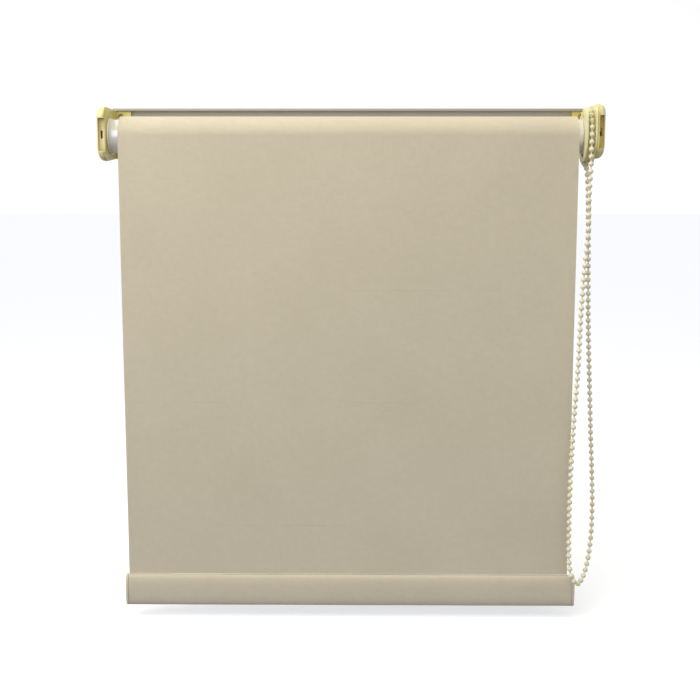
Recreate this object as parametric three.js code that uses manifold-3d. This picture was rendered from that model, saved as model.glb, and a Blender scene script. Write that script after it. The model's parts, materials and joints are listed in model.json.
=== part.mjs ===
// A small roller blind: a 28 mm aluminium tube between two moulded brackets on an aluminium wall rail,
// worked by an endless bead chain at its right-hand end, with the fabric coming off the front of the tube.
// Millimetres. +X is to the right, -Y faces the room, +Z is up. The wall is the plane y = 0, and the origin
// is the middle of the rail's back face.
import * as THREE from 'three';
import { mergeVertices } from 'three/addons/utils/BufferGeometryUtils.js';
import Module from 'manifold-3d';

const wasm = await Module();
wasm.setup();

// ---- Driving dimensions ----
const FABRIC_WIDTH = 385;
const HANGING_LENGTH = 379.5; // fabric from where it leaves the roll down to the bottom bar
const FABRIC_THICKNESS = 0.5;
const GAP = 0.3; // clearance between pieces that touch
const RUNNING_GAP = 0.2; // clearance between plates that turn past each other

const AXIS_DEPTH = 31.5; // roller axis from the wall
const AXIS_DROP = 15.5; // roller axis below the middle of the rail

const TUBE_RADIUS = 14;
const TUBE_WALL = 1.2;
const WINDING_THICKNESS = 1.5; // fabric left on the tube when the blind is down
const TAPE_WIDTH = 10;
const TAPE_CLEARANCE = 0.05; // tape from the tube below it and from the fabric above it
const TAPE_INSET = 1; // tape short of each edge of the fabric
const LEFT_TUBE_SHOW = 8; // bare tube between the fabric and the idle plug's flange
const RIGHT_TUBE_SHOW = 4.2; // bare tube between the fabric and the chain guard

const RAIL_HEIGHT = 20;
const RAIL_DEPTH = 5.5;
const RAIL_WALL = 1.2;
const RAIL_LIP = 2.3;
const RAIL_INSET = 3.6; // how far each end of the rail stays inside the bracket's outer face

const BRACKET_HEIGHT = 44.5;
const BRACKET_BACK_LIFT = 3.8; // rise of the bracket's bottom edge from its front to the wall
const BRACKET_FRONT = 23.5; // front of the bracket ahead of the roller axis
const LEFT_BRACKET_RISE = 1; // middle of the bracket above the roller axis
const RIGHT_BRACKET_RISE = 3.2;
const BRACKET_THICKNESS = 6.9; // outer face of the cover to inner face of the bracket
const BRACKET_TOP_ROUNDING = 9;
const BRACKET_BOTTOM_ROUNDING = 13;
const PLATE = 1.4;
const COVER_WALL = 1.6;
const COVER_CROWN = 5; // how far the cover's outer face is domed
const WINDOW_HEIGHT = 27;
const WINDOW_DROP = 1; // middle of the window below the middle of the bracket
const WINDOW_DEPTH = 4;
const WINDOW_WALL = 1.2;
const COIN_SLOT = { width: 2, height: 6.6 };
const TONGUE_THICKNESS = 2.4;
const LEFT_TONGUE = 12.2; // length of the tongue in the rail past the bracket's inner face
const RIGHT_TONGUE = 11.9;
const SCREW_HOLE_RADIUS = 2.4;
const LEFT_TONGUE_HOLE_INSET = 9; // screw hole from the tongue's free end
const RIGHT_TONGUE_HOLE_INSET = 7.6;
const TONGUE_HOLE_DROP = 7; // screw hole below the top of the rail
const FOOT_THICKNESS = 3;
const FOOT_REACH = 8; // length of the foot past the bracket's inner face
const FOOT_LIFT = 3.5; // bottom of the foot above the bottom of the bracket
const FOOT_HOLE_RADIUS = 1.8;
const LOCATING_HOLE_RADIUS = 1.1;
const LOCATING_HOLE_LIFT = 2; // locating hole above the bottom of the foot
const SOCKET_FRONT = BRACKET_FRONT - WINDOW_DEPTH - WINDOW_WALL - GAP; // socket ahead of the roller axis
const SOCKET_BACK = 8;
const SOCKET_SLOT = 6;
const SOCKET_FLANK = 5; // socket above and below its slot
const SOCKET_WALL = 0.9;

const IDLE_FLANGE = 1.3;
const IDLE_FLANGE_RIM = 1; // idle plug's flange past the tube all round
const IDLE_SLEEVE_LENGTH = 30;
const PIN_RADIUS = 2.6;
const PIN_COLLAR_RADIUS = 4.2;
const PIN_COLLAR = 1.5;
const PIN_COLLAR_INSET = 3; // collar from the end of the tube
const PIN_TAIL = 5; // pin past the inner end of its spring
const CHAMFER = 0.6; // on the ends of the pin and of the shaft
const PIN_END_GAP = 0.8; // pin's tip short of the end of its socket
const SPRING_LENGTH = 18;
const SPRING_RADIUS = 3.7;
const SPRING_WIRE = 0.4;
const SPRING_TURNS = 6;

const BEAD_PITCH = 6;
const BEADS_ROUND_WHEEL = 24;
const BEAD_DIAMETER = 4.5;
const CHAIN_SIDES = 8;
const GUARD = 1.4;
const GUARD_RADIUS = 24.5;
const GUARD_TOP = 22.8; // flat top of both guards above the roller axis
const GUARD_CORNER = 8; // rounding of the guard's upper front corner
const GUARD_HUB_RIM = 1; // inner guard's hub past the tube all round
const GUARD_CUT = { top: 7, bottom: 12 }; // back edge of the inner guard ahead of the roller axis
const SHROUD_REACH = { low: -0.6, high: 0.1 }; // radians above level at the back of the wheel
const NOTCH_DEPTH = 1.6; // bead notches in the wheel's rim
const LIGHTENING = { count: 6, circle: 14.5, radius: 3.6 }; // holes round the chain wheel
const SHROUD_GAP = 0.5; // shroud clear of the chain
const SHROUD_WALL = 1;
const BEAD_SIDE_ROOM = 1.3; // width of the wheel past the beads'
const SHAFT_RADIUS = 5;
const SHAFT_TAIL = 8; // shaft past the end of the drive sleeve
const CLIP_GROOVE = { near: 1, far: 3, depth: 0.8 }; // near and far are from the end of the drive sleeve
const CLIP_SIDE_ROOM = 0.3;
const CLIP_REACH = 3; // clip past the shaft all round
const CLIP_MOUTH = 4; // opening of the clip
const DRIVE_SLEEVE_LENGTH = 19;
const DRIVE_SLEEVE_RADIUS = 9;
const WRAP_SPRINGS = 2;
const WRAP_SPRING_TURNS = 4;
const WRAP_SPRING_WIRE = 0.9;
const WRAP_SPRING_ENDS = { start: 1.5, end: 2 }; // room left in the sleeve before and after the springs
const WRAP_SPRING_SPACE = 2; // between one spring's wire and the next
const HUB_LENGTH = 44;
const HUB_RIBS = 8;
const HUB_INSET = 1; // hub inside the end of the tube
const HUB_GROOVE = { depth: 1, radius: 1.9, end: 3 }; // end is the plain length at the hub's right

const BAR_HEIGHT = 28;
const BAR_DEPTH = 8.6;
const BAR_LEFT_REACH = 0.4; // fabric-wrapped bar past the left edge of the hanging fabric
const BAR_RIGHT_REACH = 4;
const BAR_CAP = 2;
const HEM_THICKNESS = 0.6;
const SPLINE = 2.2; // width of the strip that holds the fabric in the bar's groove
const SPLINE_HEIGHT = 2.5;
const SPLINE_DROP = 1.5; // strip below the top of the bar
const BAR_WALL = 1.2;
const BAR_FORWARD = 0.2; // middle of the bar ahead of the hanging fabric
const BAR_CHANNEL = { wall: 1, depth: 6 }; // channel under the groove on top of the bar
const CAP_PLUG = { length: 6, room: 0.4, root: 0.5 }; // root is how far the plug starts inside the cap

// ---- Places worked out from the sizes ----
const axis = { y: -AXIS_DEPTH, z: -AXIS_DROP };
const rollRadius = TUBE_RADIUS + GAP + WINDING_THICKNESS;
const pitchRadius = (BEAD_PITCH * BEADS_ROUND_WHEEL) / (2 * Math.PI);
const grooveFloor = pitchRadius - BEAD_DIAMETER / 2 - GAP;
const leftEdge = -FABRIC_WIDTH / 2;
const rightEdge = FABRIC_WIDTH / 2;
const tubeLeft = leftEdge - LEFT_TUBE_SHOW;
const leftInner = tubeLeft - RUNNING_GAP - IDLE_FLANGE - RUNNING_GAP;
const leftOuter = leftInner - BRACKET_THICKNESS;
const tubeRight = rightEdge + RIGHT_TUBE_SHOW;
const innerGuard = tubeRight + RUNNING_GAP;
const wheelLeft = innerGuard + GUARD + RUNNING_GAP;
const wheelRight = wheelLeft + BEAD_DIAMETER + BEAD_SIDE_ROOM;
const outerGuard = wheelRight + RUNNING_GAP;
const rightInner = outerGuard + GUARD + GAP;
const rightOuter = rightInner + BRACKET_THICKNESS;
const wheelMiddle = (wheelLeft + wheelRight) / 2;
const fabricY = axis.y - rollRadius - GAP - FABRIC_THICKNESS / 2;
const barTop = axis.z - HANGING_LENGTH - GAP;
const barMiddle = barTop - BAR_HEIGHT / 2;

// ---- Materials ----
const plastic = (color, roughness) => new THREE.MeshStandardMaterial({ color, roughness, metalness: 0 });
const metal = (color, roughness) => new THREE.MeshStandardMaterial({ color, roughness, metalness: 1 });
const cream = () => plastic(0xe9dfae, 0.4);
const aluminium = () => metal(0xc9c8c6, 0.35);
const steel = () => metal(0x8f9093, 0.3);
const fabric = () => plastic(0xc9c0a2, 0.9);

// ---- Building blocks ----
// One closed shell with only positions, its faces pointing out.
function closed(geometry) {
  const plain = new THREE.BufferGeometry();
  const source = geometry.index ? geometry.toNonIndexed() : geometry;
  plain.setAttribute('position', source.attributes.position.clone());
  return mergeVertices(plain, 1e-4);
}

function solid(geometry) {
  const merged = closed(geometry);
  return new wasm.Manifold(new wasm.Mesh({
    numProp: 3,
    vertProperties: new Float32Array(merged.attributes.position.array),
    triVerts: new Uint32Array(merged.index.array),
  }));
}

function geometryOf(body) {
  const shape = body.getMesh();
  const geometry = new THREE.BufferGeometry();
  geometry.setAttribute('position', new THREE.BufferAttribute(new Float32Array(shape.vertProperties), 3));
  geometry.setIndex(new THREE.BufferAttribute(new Uint32Array(shape.triVerts), 1));
  return geometry;
}

const union = (first, ...others) => others.reduce((body, other) => body.add(other), first);
const cut = (body, ...tools) => tools.reduce((rest, tool) => rest.subtract(tool), body);

function box(x0, x1, y0, y1, z0, z1) {
  const geometry = new THREE.BoxGeometry(x1 - x0, y1 - y0, z1 - z0);
  geometry.translate((x0 + x1) / 2, (y0 + y1) / 2, (z0 + z1) / 2);
  return solid(geometry);
}

// A box between two places along x, given in either order.
function between(xa, xb, y0, y1, z0, z1) {
  return box(Math.min(xa, xb), Math.max(xa, xb), y0, y1, z0, z1);
}

// Turns a shape drawn in (y, z) and extruded along its own z into one that runs along world x.
const alongX = new THREE.Matrix4().makeBasis(
  new THREE.Vector3(0, 1, 0),
  new THREE.Vector3(0, 0, 1),
  new THREE.Vector3(1, 0, 0),
);

function prism(shape, x0, x1, curveSegments = 8) {
  const geometry = new THREE.ExtrudeGeometry(shape, { depth: x1 - x0, bevelEnabled: false, curveSegments });
  geometry.applyMatrix4(alongX);
  geometry.translate(x0, 0, 0);
  return solid(geometry);
}

// A body turned about an axis along x. The outline is [x, radius] pairs from one end of it to the other.
function turned(outline, centre = axis, segments = 48) {
  const points = outline.map(([x, radius]) => new THREE.Vector2(radius, x));
  const geometry = new THREE.LatheGeometry(points, segments);
  geometry.rotateZ(-Math.PI / 2);
  geometry.translate(0, centre.y, centre.z);
  return solid(geometry);
}

function disc(x0, x1, radius, centre = axis, segments = 48) {
  return turned([[x0, 0], [x0, radius], [x1, radius], [x1, 0]], centre, segments);
}

function ring(x0, x1, outer, inner, centre = axis, segments = 48) {
  return cut(disc(x0, x1, outer, centre, segments), disc(x0 - 1, x1 + 1, inner, centre, segments));
}

// A round hole through a plate that faces the wall.
function wallHole(x, z, radius) {
  const geometry = new THREE.CylinderGeometry(radius, radius, 2 * AXIS_DEPTH, 24);
  geometry.translate(x, 0, z);
  return solid(geometry);
}

class Helix extends THREE.Curve {
  constructor(x0, x1, radius, turns) {
    super();
    Object.assign(this, { x0, x1, radius, turns });
  }

  getPoint(t) {
    const angle = 2 * Math.PI * this.turns * t;
    const x = this.x0 + (this.x1 - this.x0) * t;
    return new THREE.Vector3(x, axis.y + this.radius * Math.cos(angle), axis.z + this.radius * Math.sin(angle));
  }
}

// A round bar of the given number of sides swept along a curve.
function swept(curve, radius, sides, steps) {
  const section = new THREE.Shape();
  for (let i = 0; i < sides; i += 1) {
    const angle = (2 * Math.PI * i) / sides;
    const point = [radius * Math.cos(angle), radius * Math.sin(angle)];
    if (i === 0) section.moveTo(...point);
    else section.lineTo(...point);
  }
  section.closePath();
  return solid(new THREE.ExtrudeGeometry(section, { steps, extrudePath: curve, bevelEnabled: false }));
}

const blind = new THREE.Group();

function add(name, body, material) {
  const mesh = new THREE.Mesh(geometryOf(body), material);
  mesh.name = name;
  blind.add(mesh);
}

// ---- Wall rail: a shallow channel, open to the front, with a lip along its top and bottom ----
function mountingRail() {
  const half = RAIL_HEIGHT / 2;
  const channel = new THREE.Shape();
  channel.moveTo(0, -half);
  channel.lineTo(0, half);
  channel.lineTo(-RAIL_DEPTH, half);
  channel.lineTo(-RAIL_DEPTH, half - RAIL_LIP);
  channel.lineTo(-RAIL_DEPTH + RAIL_WALL, half - RAIL_LIP);
  channel.lineTo(-RAIL_DEPTH + RAIL_WALL, half - RAIL_WALL);
  channel.lineTo(-RAIL_WALL, half - RAIL_WALL);
  channel.lineTo(-RAIL_WALL, -half + RAIL_WALL);
  channel.lineTo(-RAIL_DEPTH + RAIL_WALL, -half + RAIL_WALL);
  channel.lineTo(-RAIL_DEPTH + RAIL_WALL, -half + RAIL_LIP);
  channel.lineTo(-RAIL_DEPTH, -half + RAIL_LIP);
  channel.lineTo(-RAIL_DEPTH, -half);
  channel.closePath();
  return prism(channel, leftOuter + RAIL_INSET, rightOuter - RAIL_INSET);
}

// ---- Brackets ----
// side is -1 for the bracket at the left end and 1 for the one at the right end.

// Side outline of a bracket ahead of the rail, pulled in by inset all round; its front corners are rounded.
function bracketOutline(rise, inset) {
  const back = -RAIL_DEPTH - GAP - inset;
  const front = axis.y - BRACKET_FRONT + inset;
  const top = axis.z + rise + BRACKET_HEIGHT / 2 - inset;
  const bottom = axis.z + rise - BRACKET_HEIGHT / 2 + inset;
  const topRadius = BRACKET_TOP_ROUNDING - inset;
  const bottomRadius = BRACKET_BOTTOM_ROUNDING - inset;
  const outline = new THREE.Shape();
  outline.moveTo(back, bottom + BRACKET_BACK_LIFT);
  outline.lineTo(back, top);
  outline.lineTo(front + topRadius, top);
  outline.absarc(front + topRadius, top - topRadius, topRadius, Math.PI / 2, Math.PI, false);
  outline.lineTo(front, bottom + bottomRadius);
  outline.absarc(front + bottomRadius, bottom + bottomRadius, bottomRadius, Math.PI, 1.5 * Math.PI, false);
  outline.closePath();
  return outline;
}

// The bracket outline extruded along x, with a dome crown deep outside each end of the stretch 0 to depth.
function domedPlate(rise, inset, depth, crown) {
  const geometry = new THREE.ExtrudeGeometry(bracketOutline(rise, inset + crown), {
    depth,
    bevelEnabled: true,
    bevelThickness: crown,
    bevelSize: crown,
    bevelSegments: 4,
    curveSegments: 6,
  });
  geometry.applyMatrix4(alongX);
  return solid(geometry);
}

// A domed plate whose outer dome just reaches the given face. It runs on well past the bracket's inner face.
function domedFrom(side, face, rise, inset, crown) {
  const depth = 2 * BRACKET_THICKNESS;
  const start = side < 0 ? face + crown : face - crown - depth;
  return domedPlate(rise, inset, depth, crown).translate([start, 0, 0]);
}

function windowSpan(rise) {
  const middle = axis.z + rise - WINDOW_DROP;
  return [middle - WINDOW_HEIGHT / 2, middle + WINDOW_HEIGHT / 2];
}

// Cover: a domed cap over the bracket's outer side. Its front rim has a window, closed a little way in
// by a floor with a slot for a coin, which frees the roller. windowEnd is where the window's floor stops
// towards the roller.
function bracketCover(side, outerFace, windowEnd, rise) {
  const openFace = outerFace - side * (BRACKET_THICKNESS - PLATE - GAP);
  const front = axis.y - BRACKET_FRONT;
  const [windowBottom, windowTop] = windowSpan(rise);
  const reach = 2 * BRACKET_HEIGHT;
  const outside = domedFrom(side, outerFace, rise, 0, COVER_CROWN);
  const keep = between(outerFace + side, openFace, -reach, 0, axis.z - reach, axis.z + reach);
  const inside = domedFrom(side, outerFace - side * COVER_WALL, rise, COVER_WALL, COVER_CROWN - COVER_WALL / 2);
  const pocket = between(
    outerFace, windowEnd,
    front, front + WINDOW_DEPTH + WINDOW_WALL, windowBottom - WINDOW_WALL, windowTop + WINDOW_WALL,
  ).intersect(outside);
  const windowSide = outerFace - side * COVER_WALL;
  const window = between(
    windowSide, windowEnd - side, front - 1, front + WINDOW_DEPTH, windowBottom, windowTop,
  );
  const slotX = (windowSide + windowEnd) / 2;
  const slotZ = (windowBottom + windowTop) / 2;
  const slot = box(
    slotX - COIN_SLOT.width / 2, slotX + COIN_SLOT.width / 2,
    front, front + 2 * WINDOW_DEPTH, slotZ - COIN_SLOT.height / 2, slotZ + COIN_SLOT.height / 2,
  );
  return cut(union(cut(outside.intersect(keep), inside), pocket), window, slot);
}

// Bracket: side plate, tongue that slides in the rail, and a foot on the wall below the rail.
function bracket(side, innerFace, outerFace, rise, tongueLength, holeInset, shaftHole) {
  const plateOuter = innerFace + side * PLATE;
  const bottom = axis.z + rise - BRACKET_HEIGHT / 2;
  const plate = prism(bracketOutline(rise, 0), Math.min(innerFace, plateOuter), Math.max(innerFace, plateOuter));

  const tongueTop = RAIL_HEIGHT / 2 - RAIL_WALL - GAP;
  const neckTop = RAIL_HEIGHT / 2 - RAIL_LIP - GAP;
  const tongueBack = -RAIL_WALL - GAP;
  const tongueFront = tongueBack - TONGUE_THICKNESS;
  const tongueEnd = innerFace - side * tongueLength;
  const tongueHeel = outerFace - side * (RAIL_INSET + GAP);
  const tongue = between(tongueEnd, tongueHeel, tongueFront, tongueBack, -tongueTop, tongueTop);
  const neck = between(innerFace, plateOuter, -RAIL_DEPTH - 2 * GAP, tongueFront + 1, -neckTop, neckTop);
  const tongueHole = wallHole(
    tongueEnd + side * holeInset, RAIL_HEIGHT / 2 - TONGUE_HOLE_DROP, SCREW_HOLE_RADIUS,
  );

  const footTop = -RAIL_HEIGHT / 2 - GAP;
  const footBottom = bottom + FOOT_LIFT;
  const footEnd = innerFace - side * FOOT_REACH;
  const foot = between(footEnd, outerFace, -FOOT_THICKNESS, 0, footBottom, footTop);
  const footNeck = between(innerFace, plateOuter, -RAIL_DEPTH - 1, -FOOT_THICKNESS + 1, footBottom, footTop);
  const footHole = wallHole((innerFace + footEnd) / 2, (footTop + footBottom) / 2, FOOT_HOLE_RADIUS);

  const across = [Math.min(innerFace, plateOuter) - 1, Math.max(innerFace, plateOuter) + 1];
  const pinHole = disc(...across, shaftHole, axis, 24);
  const locating = { y: -2 * RAIL_DEPTH, z: footBottom + LOCATING_HOLE_LIFT };
  const locatingHole = disc(...across, LOCATING_HOLE_RADIUS, locating, 16);
  const body = union(plate, neck, cut(tongue, tongueHole), footNeck, cut(foot, footHole));
  return cut(body, pinHole, locatingHole);
}

// The left bracket's plate is cut away round the window, so that the window is open on the roller's side too.
function leftBracket() {
  const front = axis.y - BRACKET_FRONT;
  const [windowBottom, windowTop] = windowSpan(LEFT_BRACKET_RISE);
  const body = bracket(
    -1, leftInner, leftOuter, LEFT_BRACKET_RISE, LEFT_TONGUE, LEFT_TONGUE_HOLE_INSET, PIN_RADIUS + GAP,
  );
  const clear = WINDOW_WALL + GAP;
  const opening = box(
    leftInner - PLATE - 1, leftInner + 1,
    front - 1, front + WINDOW_DEPTH + clear, windowBottom - clear, windowTop + clear,
  );
  return cut(body, opening);
}

// Socket inside a bracket: a block with a channel from the front that the roller's end pin drops into.
function pinSocket(side, innerFace, outerFace, pinRadius) {
  const near = innerFace + side * (PLATE + GAP);
  const far = outerFace - side * (COVER_WALL + GAP);
  const front = axis.y - SOCKET_FRONT;
  const halfSlot = SOCKET_SLOT / 2;
  const halfHeight = halfSlot + SOCKET_FLANK;
  const block = between(near, far, front, axis.y + SOCKET_BACK, axis.z - halfHeight, axis.z + halfHeight);
  const channel = between(
    near + side * SOCKET_WALL, far - side * SOCKET_WALL,
    front - 1, axis.y, axis.z - halfSlot, axis.z + halfSlot,
  );
  const boreStart = near - side;
  const boreEnd = far - side * SOCKET_WALL;
  const bore = disc(Math.min(boreStart, boreEnd), Math.max(boreStart, boreEnd), pinRadius, axis, 24);
  return cut(block, channel, bore);
}

// ---- Roller ----
function rollerTube() {
  return ring(tubeLeft, tubeRight, TUBE_RADIUS, TUBE_RADIUS - TUBE_WALL);
}

// Double-sided tape along the back of the tube, under the first turn of fabric.
function fixingTape() {
  const halfAngle = TAPE_WIDTH / 2 / TUBE_RADIUS;
  const inner = TUBE_RADIUS + TAPE_CLEARANCE;
  const outer = TUBE_RADIUS + GAP - TAPE_CLEARANCE;
  const strip = new THREE.Shape();
  strip.absarc(axis.y, axis.z, outer, -halfAngle, halfAngle, false);
  strip.absarc(axis.y, axis.z, inner, halfAngle, -halfAngle, true);
  strip.closePath();
  return prism(strip, leftEdge + TAPE_INSET, rightEdge - TAPE_INSET, 4);
}

function woundFabric() {
  return ring(leftEdge, rightEdge, rollRadius, TUBE_RADIUS + GAP);
}

// Plug in the left end of the tube, with a flange outside it and a bore for the sprung pin.
const plugInner = tubeLeft + IDLE_SLEEVE_LENGTH;
const plugFace = tubeLeft - RUNNING_GAP - IDLE_FLANGE;
const collarLeft = tubeLeft + PIN_COLLAR_INSET;
const springLeft = collarLeft + PIN_COLLAR + GAP;
const springRight = springLeft + SPRING_LENGTH;

function idlePlug() {
  const sleeveRadius = TUBE_RADIUS - TUBE_WALL - RUNNING_GAP;
  const body = union(
    disc(plugFace, tubeLeft - RUNNING_GAP, TUBE_RADIUS + IDLE_FLANGE_RIM),
    disc(plugFace + IDLE_FLANGE / 2, plugInner, sleeveRadius),
  );
  const pinBore = disc(plugFace - 1, plugInner + 1, PIN_RADIUS + GAP, axis, 24);
  const springBore = disc(collarLeft - GAP, springRight + GAP, PIN_COLLAR_RADIUS + GAP, axis, 24);
  return cut(body, pinBore, springBore);
}

function idlePin() {
  const tip = leftOuter + COVER_WALL + GAP + SOCKET_WALL + PIN_END_GAP;
  const tail = springRight + PIN_TAIL;
  return turned([
    [tip, 0],
    [tip, PIN_RADIUS - CHAMFER],
    [tip + CHAMFER, PIN_RADIUS],
    [collarLeft, PIN_RADIUS],
    [collarLeft, PIN_COLLAR_RADIUS],
    [collarLeft + PIN_COLLAR, PIN_COLLAR_RADIUS],
    [collarLeft + PIN_COLLAR, PIN_RADIUS],
    [tail, PIN_RADIUS],
    [tail, 0],
  ], axis, 24);
}

function idleSpring() {
  const curve = new Helix(springLeft + SPRING_WIRE, springRight - SPRING_WIRE, SPRING_RADIUS, SPRING_TURNS);
  return swept(curve, SPRING_WIRE, 6, SPRING_TURNS * 12);
}

// ---- Chain drive ----
const sleeveLeft = wheelLeft - DRIVE_SLEEVE_LENGTH;
const wrapRoom = WRAP_SPRING_WIRE + 2 * GAP;

function clutchShaft() {
  const tail = sleeveLeft - SHAFT_TAIL;
  const head = rightOuter - COVER_WALL - GAP - SOCKET_WALL - GAP;
  const grooveLeft = sleeveLeft - CLIP_GROOVE.far;
  const grooveRight = sleeveLeft - CLIP_GROOVE.near;
  return turned([
    [tail, 0],
    [tail, SHAFT_RADIUS - CHAMFER],
    [tail + CHAMFER, SHAFT_RADIUS],
    [grooveLeft, SHAFT_RADIUS],
    [grooveLeft, SHAFT_RADIUS - CLIP_GROOVE.depth],
    [grooveRight, SHAFT_RADIUS - CLIP_GROOVE.depth],
    [grooveRight, SHAFT_RADIUS],
    [head, SHAFT_RADIUS],
    [head, 0],
  ], axis, 32);
}

function retainingClip() {
  const left = sleeveLeft - CLIP_GROOVE.far + CLIP_SIDE_ROOM;
  const right = sleeveLeft - CLIP_GROOVE.near - CLIP_SIDE_ROOM;
  const inner = SHAFT_RADIUS - CLIP_GROOVE.depth + RUNNING_GAP;
  const body = ring(left, right, SHAFT_RADIUS + CLIP_REACH, inner, axis, 32);
  const mouth = box(
    left - 1, right + 1, axis.y - CLIP_MOUTH / 2, axis.y + CLIP_MOUTH / 2, axis.z - 3 * SHAFT_RADIUS, axis.z,
  );
  return cut(body, mouth);
}

// One wrap spring: a few close turns of wire gripping the shaft inside the drive sleeve.
function wrapSpring(index) {
  const { start, end } = WRAP_SPRING_ENDS;
  const share = (DRIVE_SLEEVE_LENGTH - start - end) / WRAP_SPRINGS;
  const left = sleeveLeft + start + index * share;
  const right = left + share - WRAP_SPRING_SPACE;
  const curve = new Helix(left, right, SHAFT_RADIUS + GAP + WRAP_SPRING_WIRE / 2, WRAP_SPRING_TURNS);
  return swept(curve, WRAP_SPRING_WIRE / 2, 6, WRAP_SPRING_TURNS * 16);
}

// Chain wheel: a grooved rim with a notch at each bead, and a sleeve reaching into the tube.
function chainWheel() {
  const rimRadius = grooveFloor + NOTCH_DEPTH;
  const seat = BEAD_DIAMETER / 2 + GAP;
  const rim = turned([
    [wheelLeft, 0],
    [wheelLeft, rimRadius],
    [wheelMiddle - seat, rimRadius],
    [wheelMiddle - seat + GAP, grooveFloor],
    [wheelMiddle + seat - GAP, grooveFloor],
    [wheelMiddle + seat, rimRadius],
    [wheelRight, rimRadius],
    [wheelRight, 0],
  ], axis, 2 * BEADS_ROUND_WHEEL);
  const sleeve = disc(sleeveLeft, wheelLeft + 1, DRIVE_SLEEVE_RADIUS);
  const bore = disc(sleeveLeft - 1, wheelRight + 1, SHAFT_RADIUS + GAP, axis, 32);
  const springRoom = disc(sleeveLeft - 1, wheelLeft - 1, SHAFT_RADIUS + wrapRoom + GAP, axis, 32);
  const lightening = [];
  for (let i = 0; i < LIGHTENING.count; i += 1) {
    const angle = (2 * Math.PI * (i + 0.5)) / LIGHTENING.count;
    const centre = {
      y: axis.y + LIGHTENING.circle * Math.cos(angle),
      z: axis.z + LIGHTENING.circle * Math.sin(angle),
    };
    lightening.push(disc(wheelLeft - 1, wheelRight + 1, LIGHTENING.radius, centre, 16));
  }
  const notches = [];
  for (let i = 0; i < BEADS_ROUND_WHEEL; i += 1) {
    const angle = (2 * Math.PI * i) / BEADS_ROUND_WHEEL;
    const centre = {
      y: axis.y + pitchRadius * Math.cos(angle),
      z: axis.z + pitchRadius * Math.sin(angle),
    };
    notches.push(disc(wheelLeft - 1, wheelRight + 1, BEAD_DIAMETER / 2 + GAP / 2, centre, 12));
  }
  return cut(union(rim, sleeve), bore, springRoom, ...lightening, ...notches);
}

// Fixed guards on both sides of the wheel keep the chain on it. Both are round, with a squarer corner
// at the top in front. The inner one stops short behind its front part, past a round hub. The outer
// one carries a curved wall round the back of the wheel.
const OUTLET_ANGLE = -1.5; // radians above level at the back, where the rear run leaves the wheel

function guardOutline() {
  const front = axis.y - GUARD_RADIUS;
  const top = axis.z + GUARD_TOP;
  const topAngle = Math.asin(GUARD_TOP / GUARD_RADIUS);
  const outline = new THREE.Shape();
  outline.moveTo(axis.y + GUARD_RADIUS * Math.cos(topAngle), top);
  outline.lineTo(front + GUARD_CORNER, top);
  outline.absarc(front + GUARD_CORNER, top - GUARD_CORNER, GUARD_CORNER, Math.PI / 2, Math.PI, false);
  outline.lineTo(front, axis.z);
  outline.absarc(axis.y, axis.z, GUARD_RADIUS, Math.PI, 2 * Math.PI + topAngle, false);
  return outline;
}

function innerChainGuard() {
  const reach = 2 * GUARD_RADIUS;
  const kept = new THREE.Shape();
  kept.moveTo(axis.y - reach, axis.z - GUARD_RADIUS);
  kept.lineTo(axis.y - GUARD_CUT.bottom, axis.z - GUARD_RADIUS);
  kept.lineTo(axis.y - GUARD_CUT.top, axis.z + GUARD_RADIUS);
  kept.lineTo(axis.y - reach, axis.z + GUARD_RADIUS);
  kept.closePath();
  const end = innerGuard + GUARD;
  const shield = prism(guardOutline(), innerGuard, end, 16).intersect(prism(kept, innerGuard - 1, end + 1));
  const hub = disc(innerGuard, end, TUBE_RADIUS + GUARD_HUB_RIM);
  const bore = disc(innerGuard - 1, end + 1, DRIVE_SLEEVE_RADIUS + GAP);
  return cut(union(shield, hub), bore);
}

// A stretch of a ring about the roller axis, from radius inner to outer.
function arcWall(x0, x1, inner, outer) {
  const wall = new THREE.Shape();
  wall.absarc(axis.y, axis.z, outer, SHROUD_REACH.low, SHROUD_REACH.high, false);
  wall.absarc(axis.y, axis.z, inner, SHROUD_REACH.high, SHROUD_REACH.low, true);
  wall.closePath();
  return prism(wall, x0, x1);
}

function outerChainGuard() {
  const end = outerGuard + GUARD;
  const shroudInner = pitchRadius + BEAD_DIAMETER / 2 + SHROUD_GAP;
  const shroudOuter = shroudInner + SHROUD_WALL;
  const plate = prism(guardOutline(), outerGuard, end, 16);
  const shroud = arcWall(wheelLeft, end, shroudInner, shroudOuter);
  const web = arcWall(outerGuard, end, GUARD_RADIUS - 1, shroudOuter);
  return cut(union(plate, shroud, web), disc(outerGuard - 1, end + 1, SHAFT_RADIUS + RUNNING_GAP));
}

// Plug in the right end of the tube that the drive sleeve turns, with ribs along it.
function driveHub() {
  const right = tubeRight - HUB_INSET;
  const left = right - HUB_LENGTH;
  const sleeveRadius = TUBE_RADIUS - TUBE_WALL - RUNNING_GAP;
  const grooveCircle = sleeveRadius - HUB_GROOVE.depth + HUB_GROOVE.radius;
  const body = disc(left, right, sleeveRadius);
  const grooves = [];
  for (let i = 0; i < HUB_RIBS; i += 1) {
    const angle = (2 * Math.PI * i) / HUB_RIBS;
    const centre = {
      y: axis.y + grooveCircle * Math.cos(angle),
      z: axis.z + grooveCircle * Math.sin(angle),
    };
    grooves.push(disc(left - 1, right - HUB_GROOVE.end, HUB_GROOVE.radius, centre, 12));
  }
  const bore = disc(left - 1, right + 1, DRIVE_SLEEVE_RADIUS + GAP);
  return cut(body, bore, ...grooves);
}

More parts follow.
